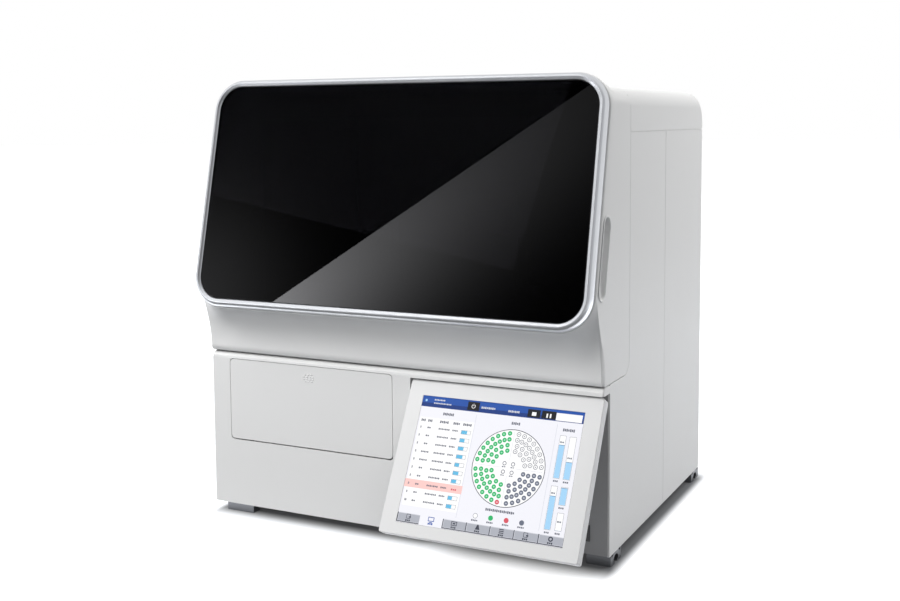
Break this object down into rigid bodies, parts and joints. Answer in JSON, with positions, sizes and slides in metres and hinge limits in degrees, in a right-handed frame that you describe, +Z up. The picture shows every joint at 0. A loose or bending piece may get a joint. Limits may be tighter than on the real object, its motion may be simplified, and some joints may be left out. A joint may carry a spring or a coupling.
{
  "type": "immunoassay analyzer",
  "caption": "Benchtop immunoassay analyzer: lifting hood with a dark pane, tilting touchscreen, drop-down door and a work deck inside.",
  "frame": {"origin": "middle of the overall box's underside, on the bench under the foot blocks", "axes": "+Z up, -Y the front with the hood and the touchscreen, +X the right side seen from the front"},
  "size_m": [0.6518, 0.6392, 0.6859],
  "materials": {
    "housing_white": "satin moulded",
    "satin_silver": "satin anodised",
    "smoked_pane": "gloss, near black",
    "recess_grey": "matt",
    "screen_white": "satin moulded",
    "display_glass": "gloss, lit",
    "slotted_aluminium": "anodised",
    "sheet_steel": "plain",
    "deck_grey": "satin",
    "black_plastic": "matt",
    "rack_blue": "satin",
    "anodised_dark": "anodised",
    "bright_steel": "brushed",
    "bottle_white": "satin",
    "board_green": "satin",
    "bin_grey": "matt"
  },
  "bodies": {
    "chassis": {"base_tray": "sheet_steel", "foot_front_left": "slotted_aluminium", "foot_front_right": "slotted_aluminium", "foot_rear_left": "slotted_aluminium", "foot_rear_right": "slotted_aluminium", "lower_frame": "slotted_aluminium", "upper_frame": "slotted_aluminium", "deck_plate": "deck_grey", "fascia": "housing_white", "recess_panel": "recess_grey", "side_panel_front_right": "housing_white", "side_panel_front_left": "housing_white", "side_panel_rear_right": "housing_white", "side_panel_rear_left": "housing_white", "top_cover": "housing_white", "rear_panel": "housing_white", "hood_hinge_fixed": "bright_steel", "screen_brackets": "sheet_steel", "switch_bezel": "black_plastic", "door_hinges": "bright_steel", "bay_liner": "bin_grey", "waste_bin": "black_plastic", "carousel_base": "anodised_dark", "incubator_housing": "housing_white", "incubator_lid": "deck_grey", "reader": "anodised_dark", "pipettor_base": "housing_white", "wash_dish": "housing_white", "wash_tower": "housing_white", "bottle_holder": "deck_grey", "wash_bottle": "bottle_white", "buffer_bottle": "bottle_white", "syringe_pump": "housing_white", "fan_frame": "black_plastic", "power_inlet": "black_plastic", "data_ports": "bright_steel", "fluid_manifold": "black_plastic", "power_supply": "sheet_steel", "control_board": "board_green"},
    "hood": {"hood_shell": "housing_white", "lid_frame": "satin_silver", "lid_pane": "smoked_pane", "grip_cup_left": "housing_white", "grip_cup_right": "housing_white", "hood_hinge_moving": "bright_steel"},
    "access_door": {"access_door": "housing_white"},
    "touchscreen": {"screen_case": "screen_white", "screen_display": "display_glass"},
    "power_rocker": {"power_rocker": "black_plastic"},
    "carousel": {"carousel_table": "anodised_dark", "reagent_kit_a": "rack_blue", "reagent_kit_b": "rack_blue", "reagent_kit_c": "rack_blue", "reagent_kit_d": "rack_blue"},
    "cuvette_rotor": {"incubator_rotor": "anodised_dark"},
    "pipettor_lift": {"pipettor_shaft": "bright_steel"},
    "pipettor_arm": {"pipettor_arm": "housing_white"},
    "wash_head": {"wash_head": "anodised_dark"},
    "pump_plunger": {"pump_plunger": "bright_steel"},
    "fan_rotor": {"fan_rotor": "black_plastic"}
  },
  "joints": [
    {"name": "hood_lift", "type": "hinge", "parent": "chassis", "child": "hood", "pos_m": [0, -0.10839, 0.6695], "axis": [-1, 0, 0], "range_deg": [0, 65]},
    {"name": "door_drop", "type": "hinge", "parent": "chassis", "child": "access_door", "pos_m": [-0.145, -0.21389, 0.1321], "axis": [1, 0, 0], "range_deg": [0, 90]},
    {"name": "screen_tilt", "type": "hinge", "parent": "chassis", "child": "touchscreen", "pos_m": [0.1785, -0.20862, 0.23399], "axis": [-1, 0, 0], "range_deg": [-28.5, 15]},
    {"name": "power_switch", "type": "hinge", "parent": "chassis", "child": "power_rocker", "pos_m": [0.283, -0.19039, 0.0505], "axis": [1, 0, 0], "range_deg": [-18, 0]},
    {"name": "carousel_spin", "type": "hinge", "parent": "chassis", "child": "carousel", "pos_m": [-0.15, -0.03139, 0.276], "axis": [0, 0, 1], "continuous": true},
    {"name": "rotor_spin", "type": "hinge", "parent": "chassis", "child": "cuvette_rotor", "pos_m": [0.17, 0.04261, 0.276], "axis": [0, 0, 1], "continuous": true},
    {"name": "pipettor_down", "type": "slide", "parent": "chassis", "child": "pipettor_lift", "axis": [0, 0, -1], "range_m": [0, 0.03]},
    {"name": "pipettor_swing", "type": "hinge", "parent": "pipettor_lift", "child": "pipettor_arm", "pos_m": [0.035, 0.12861, 0.276], "axis": [0, 0, -1], "range_deg": [-40, 110]},
    {"name": "wash_down", "type": "slide", "parent": "chassis", "child": "wash_head", "axis": [0, 0, -1], "range_m": [0, 0.018]},
    {"name": "plunger_up", "type": "slide", "parent": "chassis", "child": "pump_plunger", "axis": [0, 0, 1], "range_m": [0, 0.025]},
    {"name": "fan_spin", "type": "hinge", "parent": "chassis", "child": "fan_rotor", "pos_m": [0.175, 0.27831, 0.45], "axis": [0, 1, 0], "continuous": true}
  ]
}
